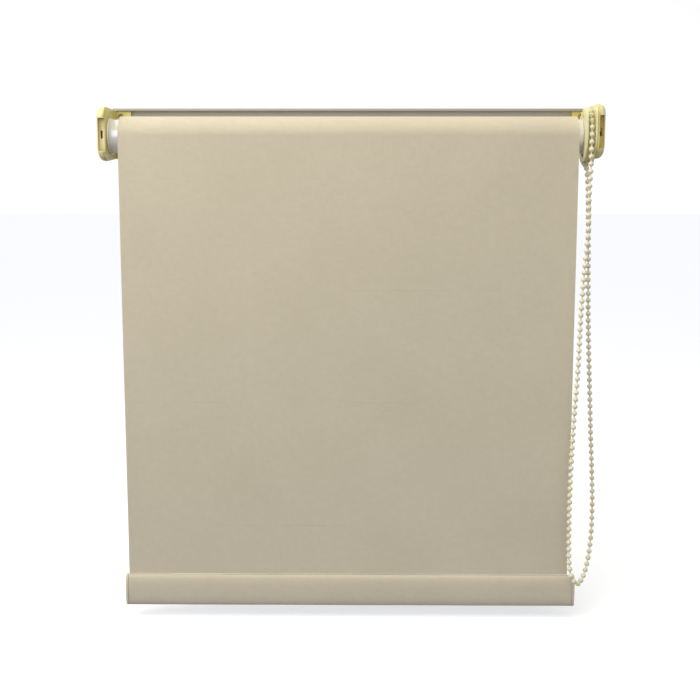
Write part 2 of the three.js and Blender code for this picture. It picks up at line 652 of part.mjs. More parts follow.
// ---- Bead chain ----
// The free run, from the front of the wheel down round the loop and up to the outlet under the wheel,
// as [x, y from the roller axis, z from the roller axis], with x counted from the middle of the wheel.
const CHAIN_ROUTE = [
  [0, -22.9, -1],
  [0, -22.9, -10],
  [-0.2, -23.4, -26],
  [-1.2, -24.0, -50],
  [-1.0, -24.4, -80],
  [-3.2, -24.8, -110],
  [-5.2, -25.2, -150],
  [-6.5, -25.6, -198],
  [-8.6, -25.6, -240],
  [-9.8, -25.6, -280],
  [-10.2, -25.4, -323],
  [-9.4, -25.2, -360],
  [-8.4, -25.2, -371],
  [-6.2, -25.4, -379.5],
  [-1.4, -23.6, -385.2],
  [3.8, -17.0, -384],
  [8.6, -9.5, -377.5],
  [12.8, -1.5, -367.5],
  [16.5, 7, -350],
  [18, 13, -323.5],
  [17, 14, -295],
  [15, 14, -262],
  [12.6, 12.2, -225],
  [9.8, 8.8, -186],
  [7.2, 4, -152],
  [4.2, -2.6, -96],
  [1.9, -7.2, -54],
  [0.6, -8.2, -36],
  [0.1, -5.6, -27.5],
  [0, 0.1, -24],
];
const FREE_CHAIN_STEPS = 76;

function chainPoint([x, y, z]) {
  return new THREE.Vector3(wheelMiddle + x, axis.y + y, axis.z + z);
}

function freeChain() {
  const curve = new THREE.CatmullRomCurve3(CHAIN_ROUTE.map(chainPoint), false, 'centripetal');
  return swept(curve, BEAD_DIAMETER / 2, CHAIN_SIDES, FREE_CHAIN_STEPS);
}

class WheelArc extends THREE.Curve {
  constructor(start, end) {
    super();
    Object.assign(this, { start, end });
  }

  getPoint(t) {
    const angle = this.start + (this.end - this.start) * t;
    return new THREE.Vector3(
      wheelMiddle,
      axis.y + pitchRadius * Math.cos(angle),
      axis.z + pitchRadius * Math.sin(angle),
    );
  }
}

function chainOnWheel() {
  const jointGap = 0.03; // radians between the arc and each end of the free run
  return swept(new WheelArc(Math.PI - jointGap, OUTLET_ANGLE + jointGap), BEAD_DIAMETER / 2, CHAIN_SIDES, 52);
}

// ---- Bottom bar ----
const barY = fabricY - BAR_FORWARD;

function lens(inset) {
  const shape = new THREE.Shape();
  const points = 40;
  const fullness = 0.7; // below 1 is squarer than an ellipse
  for (let i = 0; i < points; i += 1) {
    const angle = (2 * Math.PI * i) / points;
    const c = Math.cos(angle);
    const s = Math.sin(angle);
    const y = barY + (BAR_DEPTH / 2 - inset) * Math.sign(c) * Math.abs(c) ** fullness;
    const z = barMiddle + (BAR_HEIGHT / 2 - inset) * Math.sign(s) * Math.abs(s) ** fullness;
    if (i === 0) shape.moveTo(y, z);
    else shape.lineTo(y, z);
  }
  shape.closePath();
  return shape;
}

const barLeft = leftEdge - BAR_LEFT_REACH;
const barRight = rightEdge + BAR_RIGHT_REACH;

function bottomBar() {
  const outer = prism(lens(HEM_THICKNESS + GAP), barLeft, barRight);
  const hollow = prism(lens(HEM_THICKNESS + GAP + BAR_WALL), barLeft - 1, barRight + 1);
  const grooveHalf = SPLINE / 2 + GAP;
  const { wall, depth } = BAR_CHANNEL;
  const channelBottom = barTop - HEM_THICKNESS - GAP - depth;
  const walls = box(
    barLeft, barRight, barY - grooveHalf - wall, barY + grooveHalf + wall, channelBottom, barTop,
  ).intersect(outer);
  const groove = box(
    barLeft - 1, barRight + 1, barY - grooveHalf, barY + grooveHalf, channelBottom + wall, barTop + 1,
  );
  return cut(union(cut(outer, hollow), walls), groove);
}

function hemSpline() {
  const top = barTop - HEM_THICKNESS - GAP - SPLINE_DROP;
  return box(barLeft + 1, barRight - 1, barY - SPLINE / 2, barY + SPLINE / 2, top - SPLINE_HEIGHT, top);
}

// The fabric sleeve round the bar, with both its edges turned in at the groove on top.
function hemFabric() {
  const slitHalf = SPLINE / 2 + GAP;
  const slit = box(barLeft - 1, barRight + 1, barY - slitHalf, barY + slitHalf, barMiddle, barTop + 1);
  return cut(prism(lens(0), barLeft, barRight), prism(lens(HEM_THICKNESS), barLeft - 1, barRight + 1), slit);
}

function barCap(x0, x1, side) {
  const { length, room, root } = CAP_PLUG;
  const plugSize = lens(HEM_THICKNESS + 2 * GAP + BAR_WALL + room);
  const plug = side < 0 ? prism(plugSize, x1 - root, x1 + length) : prism(plugSize, x0 - length, x0 + root);
  const channelRoom = SPLINE / 2 + 2 * GAP + BAR_CHANNEL.wall + GAP;
  const channelBottom = barTop - HEM_THICKNESS - 3 * GAP - BAR_CHANNEL.depth;
  const clear = box(
    x0 - length - 1, x1 + length + 1, barY - channelRoom, barY + channelRoom, channelBottom, barTop + 1,
  );
  return union(prism(lens(0), x0, x1), cut(plug, clear));
}

// ---- Hanging fabric: from where it leaves the roll down to the top of the bar ----
function hangingFabric() {
  return box(
    leftEdge, rightEdge, fabricY - FABRIC_THICKNESS / 2, fabricY + FABRIC_THICKNESS / 2,
    barTop + GAP, axis.z,
  );
}

// ---- Assembly ----
add('mounting_rail', mountingRail(), aluminium());
add('left_bracket', leftBracket(), cream());
add('left_bracket_cover', bracketCover(-1, leftOuter, leftInner, LEFT_BRACKET_RISE), cream());
add('left_pin_socket', pinSocket(-1, leftInner, leftOuter, PIN_RADIUS + GAP), cream());
add('right_bracket', bracket(
  1, rightInner, rightOuter, RIGHT_BRACKET_RISE, RIGHT_TONGUE, RIGHT_TONGUE_HOLE_INSET, SHAFT_RADIUS + GAP,
), cream());
add('right_bracket_cover', bracketCover(1, rightOuter, rightInner + PLATE + GAP, RIGHT_BRACKET_RISE), cream());
add('right_shaft_socket', pinSocket(1, rightInner, rightOuter, SHAFT_RADIUS + GAP), cream());

add('roller_tube', rollerTube(), aluminium());
add('fixing_tape', fixingTape(), plastic(0xf2f0e8, 0.6));
add('wound_fabric', woundFabric(), fabric());
add('idle_plug', idlePlug(), cream());
add('idle_pin', idlePin(), steel());
add('idle_spring', idleSpring(), steel());

add('clutch_shaft', clutchShaft(), plastic(0xd8cf9c, 0.45));
add('clutch_retaining_clip', retainingClip(), steel());
for (let i = 0; i < WRAP_SPRINGS; i += 1) {
  add(`wrap_spring_${i + 1}`, wrapSpring(i), steel());
}
add('inner_chain_guard', innerChainGuard(), cream());
add('chain_wheel', chainWheel(), cream());
add('outer_chain_guard', outerChainGuard(), cream());
add('drive_hub', driveHub(), plastic(0xd8cf9c, 0.45));
add('bead_chain_loop', freeChain(), plastic(0xe8e2c4, 0.45));
add('bead_chain_on_wheel', chainOnWheel(), plastic(0xe8e2c4, 0.45));

add('hanging_fabric', hangingFabric(), fabric());
add('bottom_bar', bottomBar(), aluminium());
add('hem_spline', hemSpline(), plastic(0xe6e4dc, 0.5));
add('hem_fabric', hemFabric(), fabric());
add('left_bar_cap', barCap(barLeft - GAP - BAR_CAP, barLeft - GAP, -1), plastic(0xd8ccb0, 0.5));
add('right_bar_cap', barCap(barRight + GAP, barRight + GAP + BAR_CAP, 1), plastic(0xbcb4a4, 0.5));

export default blind;
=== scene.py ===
"""Looks of the roller blind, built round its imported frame. Metres, in the frame's own axes."""

import json
import math

import bmesh
import bpy
import numpy as np
from mathutils import Matrix, Vector


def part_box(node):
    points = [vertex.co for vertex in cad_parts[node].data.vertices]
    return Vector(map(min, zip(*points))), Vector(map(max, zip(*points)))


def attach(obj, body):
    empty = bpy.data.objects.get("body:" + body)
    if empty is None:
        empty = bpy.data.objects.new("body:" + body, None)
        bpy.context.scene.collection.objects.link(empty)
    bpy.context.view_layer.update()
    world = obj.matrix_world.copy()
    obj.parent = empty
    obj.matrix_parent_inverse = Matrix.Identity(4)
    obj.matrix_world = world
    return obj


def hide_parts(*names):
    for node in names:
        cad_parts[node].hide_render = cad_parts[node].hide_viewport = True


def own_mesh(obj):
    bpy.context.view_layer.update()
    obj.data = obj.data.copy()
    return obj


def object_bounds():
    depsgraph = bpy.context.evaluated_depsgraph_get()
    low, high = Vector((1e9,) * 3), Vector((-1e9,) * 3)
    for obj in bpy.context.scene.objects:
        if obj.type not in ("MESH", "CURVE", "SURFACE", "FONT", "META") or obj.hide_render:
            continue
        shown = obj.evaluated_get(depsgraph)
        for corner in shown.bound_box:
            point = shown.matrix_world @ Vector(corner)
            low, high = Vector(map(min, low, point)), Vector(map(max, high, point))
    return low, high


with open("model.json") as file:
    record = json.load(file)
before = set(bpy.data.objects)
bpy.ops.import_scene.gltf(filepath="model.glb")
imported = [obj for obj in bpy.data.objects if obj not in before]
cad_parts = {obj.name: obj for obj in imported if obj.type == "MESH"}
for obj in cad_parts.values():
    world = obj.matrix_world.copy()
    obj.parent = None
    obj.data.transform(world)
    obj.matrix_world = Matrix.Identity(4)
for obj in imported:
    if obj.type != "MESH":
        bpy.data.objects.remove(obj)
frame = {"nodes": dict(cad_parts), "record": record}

cad_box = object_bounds()

# ---- Places taken from the frame ----
joints = {joint["name"]: joint for joint in frame["record"]["behaviour"]["joints"]}
AXIS_Y, AXIS_Z = joints["roller_spin"]["pos_m"][1:]
ON_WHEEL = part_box("bead_chain_on_wheel")
WHEEL_X = (ON_WHEEL[0][0] + ON_WHEEL[1][0]) / 2
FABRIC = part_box("hanging_fabric")
FABRIC_LEFT, FABRIC_RIGHT = FABRIC[0][0], FABRIC[1][0]
FABRIC_Y = (FABRIC[0][1] + FABRIC[1][1]) / 2
FABRIC_TOP, FABRIC_BOTTOM = FABRIC[1][2], FABRIC[0][2]
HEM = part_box("hem_fabric")
ARM = AXIS_Y - FABRIC_Y  # from the roller axis forward to the middle of the hanging fabric

# ---- Sizes of what is modelled here ----
CLOTH = 0.0004
BEAD = 0.0045
BEAD_PITCH = 0.006
BEADS_ROUND_WHEEL = 24
BEAD_CORD = 0.0013
OUTLET_ANGLE = -1.5  # where the rear run leaves the wheel, in radians from level at the back

RNG = np.random.default_rng(7)


# ---- Camera ----
def make_camera():
    """The photograph's camera: in front of the blind, a little under its top, looking slightly down."""
    data = bpy.data.cameras.new("camera")
    data.sensor_width = 36
    data.lens = 54.51
    data.clip_start = 0.01
    place = Vector((0.0086, -0.9466, -0.0752))
    pitch, yaw, roll = (math.radians(a) for a in (7.665, 0.44, 0.05))
    camera = bpy.data.objects.new("camera", data)
    camera.matrix_world = (
        Matrix.Translation(place)
        @ Matrix.Rotation(yaw, 4, "Z")
        @ Matrix.Rotation(math.pi / 2 - pitch, 4, "X")
        @ Matrix.Rotation(roll, 4, "Z")
    )
    bpy.context.scene.collection.objects.link(camera)
    bpy.context.scene.camera = camera


make_camera()


# ---- Node helpers ----
class Nodes:
    """A material's node tree, with short calls to add nodes and to join them."""

    def __init__(self, name):
        self.material = bpy.data.materials.new(name)
        self.material.use_nodes = True
        self.tree = self.material.node_tree
        self.shader = self.tree.nodes["Principled BSDF"]

    def add(self, kind, settings=None, **inputs):
        node = self.tree.nodes.new(kind)
        for key, value in (settings or {}).items():
            setattr(node, key, value)
        for key, value in inputs.items():
            self.feed(node.inputs[key.replace("_", " ")], value)
        return node

    def feed(self, socket, value):
        if isinstance(value, bpy.types.NodeSocket):
            self.tree.links.new(value, socket)
        else:
            socket.default_value = value

    def set(self, **inputs):
        for key, value in inputs.items():
            self.feed(self.shader.inputs[key.replace("_", " ")], value)

    def coords(self, scale):
        source = self.add("ShaderNodeTexCoord").outputs["Object"]
        mapping = self.add("ShaderNodeMapping", Vector=source, Scale=scale)
        return mapping.outputs["Vector"]

    def noise(self, vector, scale, detail=3.0, roughness=0.5):
        node = self.add(
            "ShaderNodeTexNoise", Vector=vector, Scale=scale, Detail=detail, Roughness=roughness
        )
        return node.outputs["Fac"]

    def noise_on(self, uv, across, along, detail, roughness=0.5):
        """Noise on a cloth's UVs, with this many cells a metre across and along it."""
        place = self.add("ShaderNodeMapping", Vector=uv, Scale=(across, along, 1))
        return self.noise(place.outputs["Vector"], 1, detail, roughness)

    def ramp(self, value, low, high, dark, light):
        """value from low to high, spread over dark to light, as one number."""
        node = self.add("ShaderNodeMapRange", Value=value)
        self.feed(node.inputs["From Min"], low)
        self.feed(node.inputs["From Max"], high)
        self.feed(node.inputs["To Min"], dark)
        self.feed(node.inputs["To Max"], light)
        return node.outputs["Result"]

    def mix(self, share, first, second):
        node = self.add("ShaderNodeMix", {"data_type": "RGBA"})
        self.feed(node.inputs[0], share)
        self.feed(node.inputs[6], first)
        self.feed(node.inputs[7], second)
        return node.outputs[2]

    def maths(self, operation, first, second=0.0):
        node = self.add("ShaderNodeMath", {"operation": operation})
        self.feed(node.inputs[0], first)
        self.feed(node.inputs[1], second)
        return node.outputs[0]

    def bump(self, height, strength, distance, normal=None):
        node = self.add("ShaderNodeBump", Height=height, Strength=strength, Distance=distance)
        if normal is not None:
            self.feed(node.inputs["Normal"], normal)
        return node.outputs["Normal"]


def rgb(red, green, blue):
    return (red, green, blue, 1.0)


# ---- Materials ----
def moulded_plastic(name, light, deep, roughness=0.36, painted_recess_shade=None):
    """Satin moulded plastic: faint flow mottling, a fine spark-eroded grain and slightly yellower patches.

    If given, the last argument is a deeper yellow painted into the recesses from ambient occlusion: painted
    shade.
    """
    m = Nodes(name)
    place = m.coords((1, 1, 1))
    cloud = m.noise(place, 60, 4)
    fine = m.noise(place, 2600, 2)
    base = m.mix(m.ramp(cloud, 0.35, 0.65, 0, 1), light, deep)
    if painted_recess_shade:
        # Painted shade: where ambient occlusion finds a surface hemmed in, its colour turns towards the
        # deeper yellow of the recesses.
        openness = m.add("ShaderNodeAmbientOcclusion", Distance=0.01).outputs["AO"]
        base = m.mix(m.ramp(openness, 0.6, 1.0, 1, 0), base, painted_recess_shade)
    m.set(
        Base_Color=base,
        Roughness=m.ramp(m.noise(place, 220, 3), 0.3, 0.7, roughness - 0.06, roughness + 0.1),
        Normal=m.bump(fine, 0.25, 0.00006, m.bump(cloud, 0.2, 0.0004)),
    )
    m.set(Subsurface_Weight=0.25, Subsurface_Radius=(0.004, 0.003, 0.0012), Subsurface_Scale=1.0)
    return m.material


def rolled_aluminium(name, color, roughness, metallic):
    """Satin aluminium: faint die lines along its length and dull patches."""
    m = Nodes(name)
    lines = m.noise(m.coords((1, 90, 90)), 30, 6, 0.6)
    patches = m.noise(m.coords((1, 1, 1)), 45, 3)
    shade = m.ramp(lines, 0.3, 0.7, 0.94, 1.0)
    tone = m.mix(shade, rgb(*(0.72 * c for c in color)), rgb(*color))
    m.set(
        Base_Color=tone,
        Metallic=metallic,
        Roughness=m.maths(
            "ADD", m.ramp(lines, 0.3, 0.7, roughness, roughness + 0.05), m.ramp(patches, 0.4, 0.8, 0, 0.06)
        ),
        Normal=m.bump(lines, 0.06, 0.00004),
    )
    return m.material


def spring_steel():
    m = Nodes("spring_steel")
    place = m.coords((1, 1, 1))
    m.set(
        Base_Color=m.mix(m.noise(place, 900, 3), rgb(0.36, 0.36, 0.37), rgb(0.52, 0.51, 0.5)),
        Metallic=1.0,
        Roughness=m.ramp(m.noise(place, 300, 2), 0.3, 0.7, 0.22, 0.4),
    )
    return m.material


def blind_cloth():
    """Plain-weave polyester. Its UVs are metres across and along it, so threads follow it round the roll."""
    m = Nodes("blind_cloth")
    thread_pitch = 0.00052
    turns = 2 * math.pi / thread_pitch
    uv = m.add("ShaderNodeUVMap").outputs["UV"]
    across = m.add("ShaderNodeSeparateXYZ", Vector=uv)
    shift = m.ramp(m.noise_on(uv, 900, 900, 2), 0, 1, -0.8, 0.8)
    warp = m.maths("SINE", m.maths("ADD", m.maths("MULTIPLY", across.outputs["X"], turns), shift))
    weft = m.maths("SINE", m.maths("ADD", m.maths("MULTIPLY", across.outputs["Y"], turns), shift))
    weave = m.maths("MULTIPLY", warp, weft)
    slubs_along = m.noise_on(uv, 70, 1800, 3)
    slubs_across = m.noise_on(uv, 1800, 90, 3)
    clouds = m.noise_on(uv, 14, 14, 5)
    crackle = m.noise_on(uv, 160, 160, 6, 0.65)
    base = m.mix(m.ramp(clouds, 0.3, 0.7, 0, 1), rgb(0.565, 0.516, 0.414), rgb(0.60, 0.548, 0.446))
    base = m.mix(m.ramp(slubs_along, 0.45, 0.75, 0, 0.35), base, rgb(0.51, 0.46, 0.36))
    base = m.mix(m.ramp(slubs_across, 0.5, 0.8, 0, 0.25), base, rgb(0.66, 0.61, 0.50))
    base = m.mix(m.ramp(crackle, 0.35, 0.65, 0.25, 0), base, rgb(0.49, 0.43, 0.335))
    base = m.mix(m.ramp(weave, -1, 1, 0, 0.2), base, rgb(0.46, 0.41, 0.32))
    creases = cloth_creases(m, across.outputs["X"], across.outputs["Y"])
    # Painted shade: the cloth is darkened along each crease, besides being bumped there.
    base = m.mix(m.maths("MULTIPLY", creases, 0.12), base, rgb(0.33, 0.29, 0.22))
    height = m.maths("ADD", weave, m.ramp(slubs_along, 0.3, 0.7, -0.8, 0.8))
    wrinkles = m.bump(crackle, 0.35, 0.0005)
    m.set(
        Base_Color=base,
        Roughness=0.85,
        Normal=m.bump(height, 0.35, 0.00008, m.bump(creases, 0.35, 0.0003, wrinkles)),
    )
    m.set(Sheen_Weight=0.2, Sheen_Roughness=0.5, Specular_IOR_Level=0.25)
    return m.material


# Faint creases across the hanging cloth: [metres down from the roll's axis, from x, to x].
CREASES = [(0.2256, -0.160, -0.080), (0.2256, 0.0, 0.065), (0.1290, 0.0, 0.100), (0.335, -0.12, 0.01)]


def cloth_creases(m, u, v):
    """1 along the middle of each crease, fading to 0 within a millimetre and at its ends, and broken up."""
    total = None
    for down, start, end in CREASES:
        off = m.maths("ABSOLUTE", m.maths("ADD", v, down))
        line = m.ramp(off, 0.0, 0.0009, 1, 0)
        from_middle = m.maths("ABSOLUTE", m.maths("SUBTRACT", u, (start + end) / 2))
        length = end - start
        line = m.maths("MULTIPLY", line, m.ramp(from_middle, 0.3 * length, 0.5 * length, 1, 0))
        total = line if total is None else m.maths("MAXIMUM", total, line)
    along = m.add("ShaderNodeCombineXYZ", X=u, Y=v)
    breaks = m.ramp(m.noise(along.outputs["Vector"], 90, 3), 0.4, 0.6, 0.15, 1)
    return m.maths("MULTIPLY", total, breaks)


# Painted shade: the deeper yellow painted into the recesses of the covers and sockets.
PAINTED_RECESS_SHADE = rgb(0.56, 0.43, 0.12)
CREAM_WITH_PAINTED_RECESS_SHADE = moulded_plastic("cream_plastic", rgb(0.76, 0.70, 0.44), rgb(0.74, 0.66, 0.37), painted_recess_shade=PAINTED_RECESS_SHADE)
# Copies of the cream plastic in separate shades: the guards' paler cream copies how lit faces look and the
# plates' and wheel's deeper yellow copies shaded ones, so these shades are partly painted light and painted
# shade.
BRACKETS = moulded_plastic("bracket_plastic", rgb(0.73, 0.64, 0.25), rgb(0.68, 0.58, 0.19))
WHEEL = moulded_plastic("wheel_plastic", rgb(0.82, 0.74, 0.36), rgb(0.79, 0.69, 0.29))
FLANGE = moulded_plastic("flange_plastic", rgb(0.83, 0.81, 0.72), rgb(0.80, 0.77, 0.66))
GUARDS = moulded_plastic("guard_plastic", rgb(0.77, 0.73, 0.50), rgb(0.75, 0.69, 0.42))
INNER = moulded_plastic("inner_plastic", rgb(0.78, 0.70, 0.44), rgb(0.72, 0.63, 0.38), 0.5)
BEADS = moulded_plastic("bead_plastic", rgb(0.76, 0.73, 0.58), rgb(0.72, 0.67, 0.49), 0.3)
CAPS = moulded_plastic("cap_plastic", rgb(0.66, 0.58, 0.49), rgb(0.60, 0.51, 0.43), 0.42)
TUBE = rolled_aluminium("tube_aluminium", (0.90, 0.90, 0.99), 0.2, metallic=0.5)
RAIL = rolled_aluminium("rail_aluminium", (0.50, 0.48, 0.43), 0.42, metallic=0.7)
STEEL = spring_steel()
CLOTH_LOOK = blind_cloth()
TAPE = moulded_plastic("tape", rgb(0.8, 0.79, 0.72), rgb(0.74, 0.73, 0.66), 0.55)


# ---- Mesh helpers ----
CORNER = math.radians(40)  # edges sharper than this stay sharp
ROUNDED = math.radians(28)  # edges of a hard piece sharper than this are rounded
SMOOTHED = math.radians(32)  # facets of a hard piece that meet flatter than this are shaded smooth


def new_piece(name, vertices, faces, material, uvs=None):
    mesh = bpy.data.meshes.new(name)
    mesh.from_pydata([tuple(v) for v in vertices], [], faces)
    if uvs is not None:
        layer = mesh.uv_layers.new(name="UVMap")
        for loop in mesh.loops:
            layer.data[loop.index].uv = uvs[loop.vertex_index]
    mesh.materials.append(material)
    for polygon in mesh.polygons:
        polygon.use_smooth = True
    mesh.update()
    piece = bpy.data.objects.new(name, mesh)
    bpy.context.scene.collection.objects.link(piece)
    return piece


def apply_modifiers(piece):
    """Turns the piece's modifiers into its mesh, and keeps its corners sharp."""
    graph = bpy.context.evaluated_depsgraph_get()
    mesh = bpy.data.meshes.new_from_object(piece.evaluated_get(graph), depsgraph=graph)
    piece.modifiers.clear()
    piece.data = mesh
    piece.data.set_sharp_from_angle(angle=CORNER)


def grid(rows, columns):
    """Faces of a grid of rows x columns vertices, numbered row by row."""
    faces = []
    for r in range(rows - 1):
        for c in range(columns - 1):
            low = r * columns + c
            high = low + columns
            faces.append((low, low + 1, high + 1, high))
    return faces


def thicken(piece):
    """Gives a sheet the cloth's thickness, half of it on each side."""
    solidify = piece.modifiers.new("thickness", "SOLIDIFY")
    solidify.thickness = CLOTH
    solidify.offset = 0
    apply_modifiers(piece)


def distances_along(line):
    """How far along a list of (y, z) each of its points is."""
    along = [0.0]
    for (y0, z0), (y1, z1) in zip(line, line[1:]):
        along.append(along[-1] + math.hypot(y1 - y0, z1 - z0))
    return along


def cloth_piece(name, line, uvs_along, columns, bow=None):
    """A sheet as wide as the fabric that follows line, a list of (y, z). bow(x, i) moves a point forward."""
    xs = np.linspace(FABRIC_LEFT, FABRIC_RIGHT, columns)
    vertices, uvs = [], []
    for i, (y, z) in enumerate(line):
        for x in xs:
            vertices.append((x, y - (bow(x, i) if bow else 0.0), z))
            uvs.append((x, uvs_along[i]))
    piece = new_piece(name, vertices, grid(len(line), columns), CLOTH_LOOK, uvs)
    thicken(piece)
    return piece


def refined(node, material, bevel, seam=None):
    """A copy of a CAD node with its flat facets joined, its edges rounded and its curves shaded smooth.

    seam, if given, is the x of a face and how far to move that face.
    """
    source = frame["nodes"][node]
    mesh = source.data.copy()
    mesh.materials.clear()
    mesh.materials.append(material)
    bm = bmesh.new()
    bm.from_mesh(mesh)
    bmesh.ops.remove_doubles(bm, verts=bm.verts, dist=1e-6)
    bmesh.ops.dissolve_limit(bm, angle_limit=math.radians(1), verts=bm.verts, edges=bm.edges)
    bmesh.ops.recalc_face_normals(bm, faces=bm.faces)
    if seam:
        face, step = seam
        for vertex in bm.verts:
            if abs(vertex.co.x - face) < 0.00002:
                vertex.co.x += step
    bm.to_mesh(mesh)
    bm.free()
    piece = bpy.data.objects.new(node + "_look", mesh)
    bpy.context.scene.collection.objects.link(piece)
    if bevel:
        rounding = piece.modifiers.new("edges", "BEVEL")
        rounding.width = bevel
        rounding.segments = 2
        rounding.limit_method = "ANGLE"
        rounding.angle_limit = ROUNDED
        rounding.use_clamp_overlap = True
        apply_modifiers(piece)
    piece.data.polygons.foreach_set("use_smooth", [True] * len(piece.data.polygons))
    piece.data.set_sharp_from_angle(angle=SMOOTHED)
    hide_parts(node)
    return piece


# ---- Bead chain: one endless chain over the wheel ----
# The free run, from the front of the wheel round the loop and up to the outlet, as in the CAD model:
# x from the middle of the wheel, y and z from the roller axis, in metres.
CHAIN_ROUTE = [
    (0, -0.0229, -0.001),
    (0, -0.0229, -0.010),
    (-0.0002, -0.0234, -0.026),
    (-0.0012, -0.0240, -0.050),
    (-0.0010, -0.0244, -0.080),
    (-0.0032, -0.0248, -0.110),
    (-0.0052, -0.0252, -0.150),
    (-0.0065, -0.0256, -0.198),
    (-0.0086, -0.0256, -0.240),
    (-0.0098, -0.0256, -0.280),
    (-0.0102, -0.0254, -0.323),
    (-0.0094, -0.0252, -0.360),
    (-0.0084, -0.0252, -0.371),
    (-0.0062, -0.0254, -0.3795),
    (-0.0014, -0.0236, -0.3852),
    (0.0038, -0.0170, -0.384),
    (0.0086, -0.0095, -0.3775),
    (0.0128, -0.0015, -0.3675),
    (0.0165, 0.007, -0.350),
    (0.018, 0.013, -0.3235),
    (0.017, 0.014, -0.295),
    (0.015, 0.014, -0.262),
    (0.0126, 0.0122, -0.225),
    (0.0098, 0.0088, -0.186),
    (0.0072, 0.004, -0.152),
    (0.0042, -0.0026, -0.096),
    (0.0019, -0.0072, -0.054),
    (0.0006, -0.0082, -0.036),
    (0.0001, -0.0056, -0.0275),
    (0, 0.0001, -0.024),
]


def centripetal(points):
    """A centripetal Catmull-Rom curve through the points, as a fine polyline."""
    per_span = 24
    points = [np.array(p, float) for p in points]
    padded = [2 * points[0] - points[1], *points, 2 * points[-1] - points[-2]]
    out = []
    for a, b, c, d in zip(padded, padded[1:], padded[2:], padded[3:]):
        t0 = 0.0
        t1 = t0 + np.linalg.norm(b - a) ** 0.5
        t2 = t1 + np.linalg.norm(c - b) ** 0.5
        t3 = t2 + np.linalg.norm(d - c) ** 0.5
        for t in np.linspace(t1, t2, per_span, endpoint=False):
            ab = ((t1 - t) * a + (t - t0) * b) / (t1 - t0)
            bc = ((t2 - t) * b + (t - t1) * c) / (t2 - t1)
            cd = ((t3 - t) * c + (t - t2) * d) / (t3 - t2)
            low = ((t2 - t) * ab + (t - t0) * bc) / (t2 - t0)
            high = ((t3 - t) * bc + (t - t1) * cd) / (t3 - t1)
            out.append(((t2 - t) * low + (t - t1) * high) / (t2 - t1))
    out.append(points[-1])
    return np.array(out)


def even_points(line, distances):
    """Points at the given distances along a polyline."""
    steps = np.linalg.norm(np.diff(line, axis=0), axis=1)
    at = np.concatenate([[0], np.cumsum(steps)])
    return np.stack([np.interp(distances, at, line[:, i]) for i in range(3)], axis=1)


def length_of(line):
    return float(np.linalg.norm(np.diff(line, axis=0), axis=1).sum())


def chain_centreline():
    """Places of the chain's beads, from the one at the outlet back over the wheel and round the loop."""
    pitch_radius = BEAD_PITCH * BEADS_ROUND_WHEEL / (2 * math.pi)
    step = 2 * math.pi / BEADS_ROUND_WHEEL
    first = math.ceil(OUTLET_ANGLE / step)
    last = BEADS_ROUND_WHEEL // 2
    wheel = np.array([
        (0, pitch_radius * math.cos(i * step), pitch_radius * math.sin(i * step))
        for i in range(first, last + 1)
    ])
    free = centripetal([tuple(wheel[-1]), *CHAIN_ROUTE[1:], tuple(wheel[0])])
    count = round(length_of(free) / BEAD_PITCH)
    spots = even_points(free, np.linspace(0, length_of(free), count + 1)[1:-1])
    return np.concatenate([wheel, spots]) + np.array([WHEEL_X, AXIS_Y, AXIS_Z])


def frames_along(points):
    """A direction and two sideways directions at each point of a closed line, without sudden twists."""
    ahead = np.roll(points, -1, axis=0) - np.roll(points, 1, axis=0)
    ahead /= np.linalg.norm(ahead, axis=1)[:, None]
    side = np.cross(ahead[0], (1.0, 0.0, 0.0))
    out = []
    for direction in ahead:
        side = side - direction * side.dot(direction)
        side /= np.linalg.norm(side)
        out.append((direction, side.copy(), np.cross(direction, side)))
    return out


def bead_chain():
    """Moulded beads on a thin cord: a string of balls joined by short necks, as one mesh."""
    beads = chain_centreline()
    frames = frames_along(beads)
    sides, arcs = 14, 9
    neck = math.asin(BEAD_CORD / BEAD)
    vertices, path = [], []
    for centre, (ahead, side, up) in zip(beads, frames):
        flat = RNG.uniform(0.97, 1.0)
        for k in range(arcs):
            lean = -math.pi / 2 + neck + (math.pi - 2 * neck) * k / (arcs - 1)
            middle = centre + ahead * (BEAD / 2 * flat * math.sin(lean))
            path.append(middle)
            radius = BEAD / 2 * math.cos(lean)
            for j in range(sides):
                turn = 2 * math.pi * j / sides
                vertices.append(middle + radius * (side * math.cos(turn) + up * math.sin(turn)))
    rings = len(path)
    faces = []
    for r in range(rings - 1):
        for j in range(sides):
            k = (j + 1) % sides
            faces.append((r * sides + j, r * sides + k, (r + 1) * sides + k, (r + 1) * sides + j))
    faces.append(tuple(range(sides - 1, -1, -1)))
    faces.append(tuple((rings - 1) * sides + j for j in range(sides)))
    piece = new_piece("bead_chain", vertices, faces, BEADS)
    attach(piece, "mount")
    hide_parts("bead_chain_loop", "bead_chain_on_wheel")
    print("chain length m", round(length_of(np.array(path)), 4), "beads", len(beads))


bead_chain()


# ---- Fabric ----
def ripple(x, z):
    """How far the hanging cloth stands forward of flat: shallow waves that end at the roll and the bar."""
    down = (FABRIC_TOP - z) / (FABRIC_TOP - FABRIC_BOTTOM)
    calm = math.sin(math.pi * min(max(down, 0), 1)) ** 0.7
    wave = (
        0.35 * math.sin(21 * x + 3.1 * down + 0.4)
        + 0.25 * math.sin(38 * x - 2.3 * down + 1.9)
        + 0.2 * math.sin(9 * x + 7.0 * down)
    )
    edge = 0.5 * (abs(x) / FABRIC_RIGHT) ** 8
    return 0.001 * calm * (wave + edge)


def hanging_fabric():
    rows, columns = 121, 97
    zs = np.linspace(FABRIC_TOP, FABRIC_BOTTOM, rows)
    piece = cloth_piece(
        "hanging_cloth",
        [(FABRIC_Y, z) for z in zs],
        [z - FABRIC_TOP for z in zs],
        columns,
        bow=lambda x, i: ripple(x, zs[i]),
    )
    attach(piece, "mount")
    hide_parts("hanging_fabric")
    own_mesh(piece)


